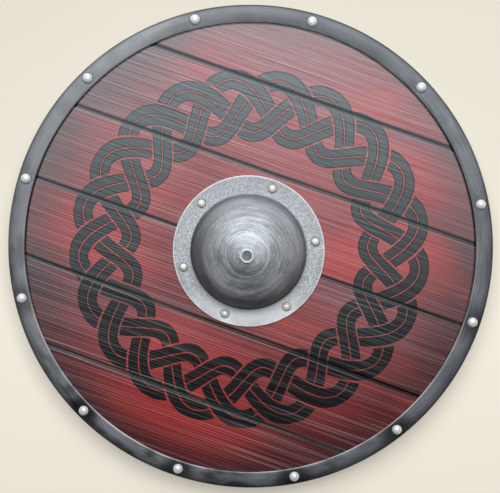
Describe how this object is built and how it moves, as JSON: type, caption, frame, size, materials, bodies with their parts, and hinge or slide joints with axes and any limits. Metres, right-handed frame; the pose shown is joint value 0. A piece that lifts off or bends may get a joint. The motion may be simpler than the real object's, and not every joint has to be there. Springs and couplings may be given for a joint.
{
  "type": "wooden round shield",
  "caption": "Round shield of V-grooved wooden boards in a riveted steel rim, with a riveted steel boss over a hand hole, and a grip and two battens behind.",
  "frame": {"origin": "on the surface that the shield lies on, under the middle of its rim", "axes": "+Z out of the shield's face, +X along the grain of the boards, +Y across the boards towards plank_1"},
  "size_m": [0.61, 0.61, 0.0896],
  "materials": {
    "red_wood": "wire-brushed pine, stained red, darkened at the seams and the rim, with a charcoal plaited ring, soft gloss",
    "plain_wood": "sawn and sanded softwood with a thin oil",
    "rim_steel": "darkened steel, brushed along the rim, worn bright on its inner edge",
    "boss_steel": "spun steel, dark wash with bright turning rings on the dome, finely hammered flange",
    "bright_steel": "polished rivet heads",
    "pale_nickel": "pale, warm plated rivet heads",
    "screw_steel": "plain plated wood screws"
  },
  "bodies": {
    "root": {"plank_1": "red_wood", "plank_2": "red_wood", "plank_3": "red_wood", "plank_4": "red_wood", "plank_5": "red_wood", "plank_6": "red_wood", "rim": "rim_steel", "rim_rivet_1": "bright_steel", "rim_rivet_2": "bright_steel", "rim_rivet_3": "bright_steel", "rim_rivet_4": "bright_steel", "rim_rivet_5": "bright_steel", "rim_rivet_6": "bright_steel", "rim_rivet_7": "bright_steel", "rim_rivet_8": "bright_steel", "rim_rivet_9": "bright_steel", "rim_rivet_10": "bright_steel", "rim_rivet_11": "bright_steel", "rim_rivet_12": "bright_steel", "boss": "boss_steel", "boss_rivet_1": "pale_nickel", "boss_rivet_2": "pale_nickel", "boss_rivet_3": "pale_nickel", "boss_rivet_4": "pale_nickel", "boss_rivet_5": "pale_nickel", "boss_rivet_6": "pale_nickel", "grip": "plain_wood", "batten_left": "plain_wood", "batten_right": "plain_wood", "grip_screw_1": "screw_steel", "grip_screw_2": "screw_steel", "grip_screw_3": "screw_steel", "grip_screw_4": "screw_steel", "batten_left_screw_1": "screw_steel", "batten_left_screw_2": "screw_steel", "batten_left_screw_3": "screw_steel", "batten_left_screw_4": "screw_steel", "batten_left_screw_5": "screw_steel", "batten_left_screw_6": "screw_steel", "batten_right_screw_1": "screw_steel", "batten_right_screw_2": "screw_steel", "batten_right_screw_3": "screw_steel", "batten_right_screw_4": "screw_steel", "batten_right_screw_5": "screw_steel", "batten_right_screw_6": "screw_steel"}
  },
  "joints": []
}
